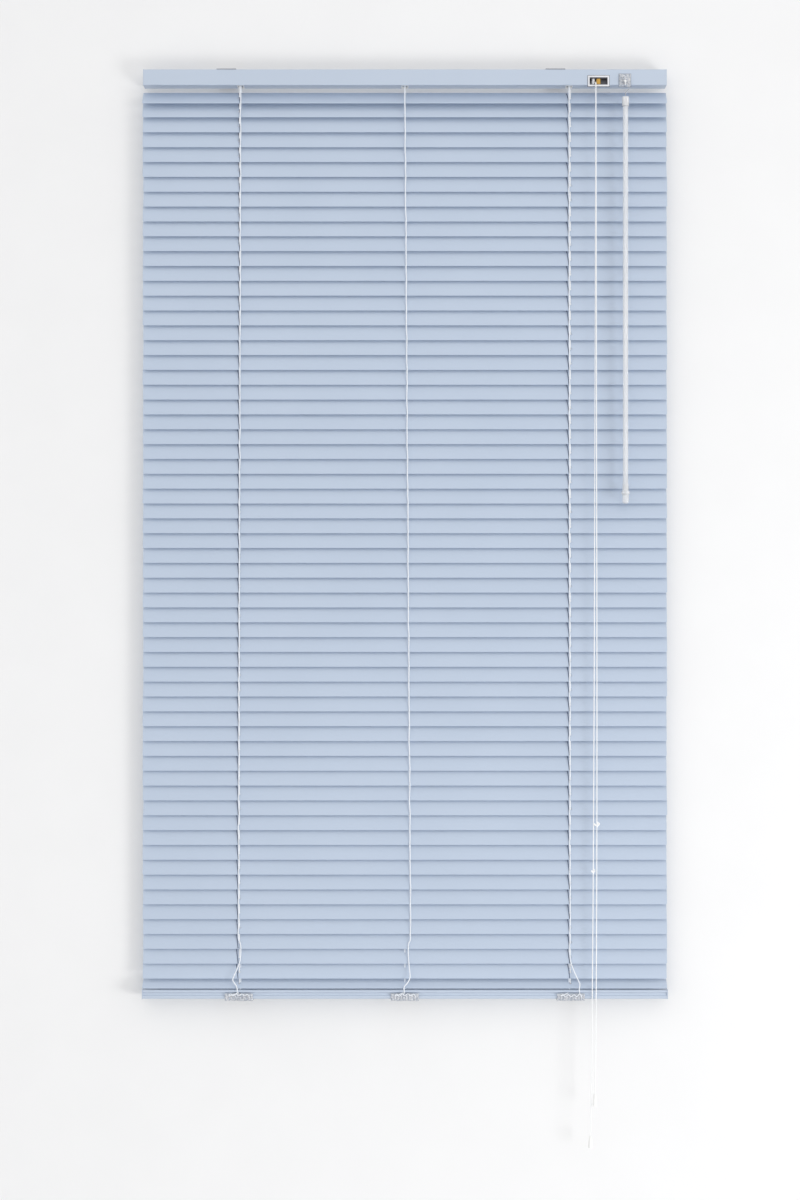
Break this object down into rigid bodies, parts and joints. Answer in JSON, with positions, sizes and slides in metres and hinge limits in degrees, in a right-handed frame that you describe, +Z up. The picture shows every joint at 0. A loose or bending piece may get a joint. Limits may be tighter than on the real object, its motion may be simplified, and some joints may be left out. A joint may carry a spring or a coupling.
{
  "type": "aluminium venetian blind",
  "caption": "Pale blue aluminium venetian blind, lowered and closed, with wall brackets, cord lock, pull cords with bell tassels and a clear tilt wand.",
  "frame": {"origin": "midway between the two bracket screw holes, on the wall's face", "axes": "+Z up, -Y towards the room, +X to the right seen from the room"},
  "size_m": [0.751, 0.0469, 1.5408],
  "materials": {
    "slat_enamel": "satin",
    "rail_enamel": "satin",
    "cap_plastic": "satin",
    "zinc_steel": "satin",
    "white_plastic": "gloss",
    "clear_plastic": "clear gloss",
    "brass": "satin",
    "cord": "matte braid"
  },
  "bodies": {
    "frame": {"head_rail": "rail_enamel", "rail_end_cap_left": "cap_plastic", "rail_end_cap_right": "cap_plastic", "wall_bracket_left": "zinc_steel", "wall_bracket_right": "zinc_steel", "lever_rivets": "zinc_steel", "cradle_left": "white_plastic", "cradle_middle": "white_plastic", "cradle_right": "white_plastic", "tilter_housing": "clear_plastic", "cord_lock_housing": "zinc_steel", "guide_pin": "zinc_steel", "slats_on_ladders": "slat_enamel", "lift_cord_left": "cord", "lift_cord_right": "cord", "pull_cord_left": "cord", "pull_cord_right": "cord"},
    "bottom": {"bottom_rail": "rail_enamel", "bottom_end_cap_left": "cap_plastic", "bottom_end_cap_right": "cap_plastic", "rail_clip_left": "clear_plastic", "rail_clip_middle": "clear_plastic", "rail_clip_right": "clear_plastic", "ladder_tails_left": "cord", "ladder_tails_middle": "cord", "ladder_tails_right": "cord", "stop_knot_left": "cord", "stop_knot_right": "cord"},
    "tassel_left": {"tassel_left": "white_plastic", "cord_knot_left": "cord"},
    "tassel_right": {"tassel_right": "white_plastic", "cord_knot_right": "cord"},
    "wand_swing": {"wand_sleeve": "clear_plastic"},
    "wand_turn": {"wand_hook": "zinc_steel", "wand": "clear_plastic", "wand_grip": "clear_plastic"},
    "worm": {"worm_shaft": "white_plastic"},
    "tilt": {"tilt_rod": "zinc_steel", "worm_gear": "white_plastic", "drum_left": "white_plastic", "drum_middle": "white_plastic", "drum_right": "white_plastic"},
    "lever_left": {"bracket_lever_left": "zinc_steel"},
    "lever_right": {"bracket_lever_right": "zinc_steel"},
    "lock_pin": {"lock_pin": "zinc_steel"},
    "lock_roller": {"lock_roller": "brass"},
    "guide_roller": {"guide_roller": "zinc_steel"}
  },
  "joints": [
    {"name": "lift", "type": "slide", "parent": "frame", "child": "bottom", "axis": [0, 0, 1], "range_m": [0, 1.1], "deforming": ["slats_on_ladders", "lift_cord_left", "lift_cord_right"]},
    {"name": "pull_left", "type": "slide", "parent": "frame", "child": "tassel_left", "axis": [0, 0, -1], "range_m": [0, 1.1], "deforming": ["pull_cord_left"]},
    {"name": "pull_right", "type": "slide", "parent": "frame", "child": "tassel_right", "axis": [0, 0, -1], "range_m": [0, 1.1], "deforming": ["pull_cord_right"]},
    {"name": "wand_swings", "type": "hinge", "parent": "frame", "child": "wand_swing", "pos_m": [0.334, -0.04089, -0.01267], "axis": [-1, 0, 0], "range_deg": [0, 60]},
    {"name": "wand_turns", "type": "hinge", "parent": "wand_swing", "child": "wand_turn", "pos_m": [0.334, -0.04089, -0.01267], "axis": [0, 0, -1], "range_deg": [0, 2880]},
    {"name": "worm_turns", "type": "hinge", "parent": "frame", "child": "worm", "pos_m": [0.334, -0.02486, 0.00336], "axis": [0, -0.7071, -0.7071], "range_deg": [0, 2880]},
    {"name": "rod_tilts", "type": "hinge", "parent": "frame", "child": "tilt", "pos_m": [0.334, -0.0185, -0.003], "axis": [1, 0, 0], "range_deg": [-180, 0]},
    {"name": "lever_left_turns", "type": "hinge", "parent": "frame", "child": "lever_left", "pos_m": [-0.235, -0.014, 0.0068], "axis": [0, 0, 1], "range_deg": [0, 90]},
    {"name": "lever_right_turns", "type": "hinge", "parent": "frame", "child": "lever_right", "pos_m": [0.235, -0.014, 0.0068], "axis": [0, 0, 1], "range_deg": [0, 90]},
    {"name": "lock_slides", "type": "slide", "parent": "frame", "child": "lock_pin", "axis": [0.9397, 0.342, 0], "range_m": [0, 0.0025]},
    {"name": "lock_roller_spins", "type": "hinge", "parent": "lock_pin", "child": "lock_roller", "pos_m": [0.2965, -0.0272, -0.0085], "axis": [0, 0, 1], "continuous": true},
    {"name": "guide_roller_spins", "type": "hinge", "parent": "frame", "child": "guide_roller", "pos_m": [0.289, -0.027, -0.0085], "axis": [0, 0, 1], "continuous": true}
  ],
  "couplings": [
    {"joint": "pull_left", "follows": "lift", "ratio": 1},
    {"joint": "pull_right", "follows": "lift", "ratio": 1},
    {"joint": "worm_turns", "follows": "wand_turns", "ratio": 1},
    {"joint": "rod_tilts", "follows": "wand_turns", "ratio": -0.0625}
  ]
}
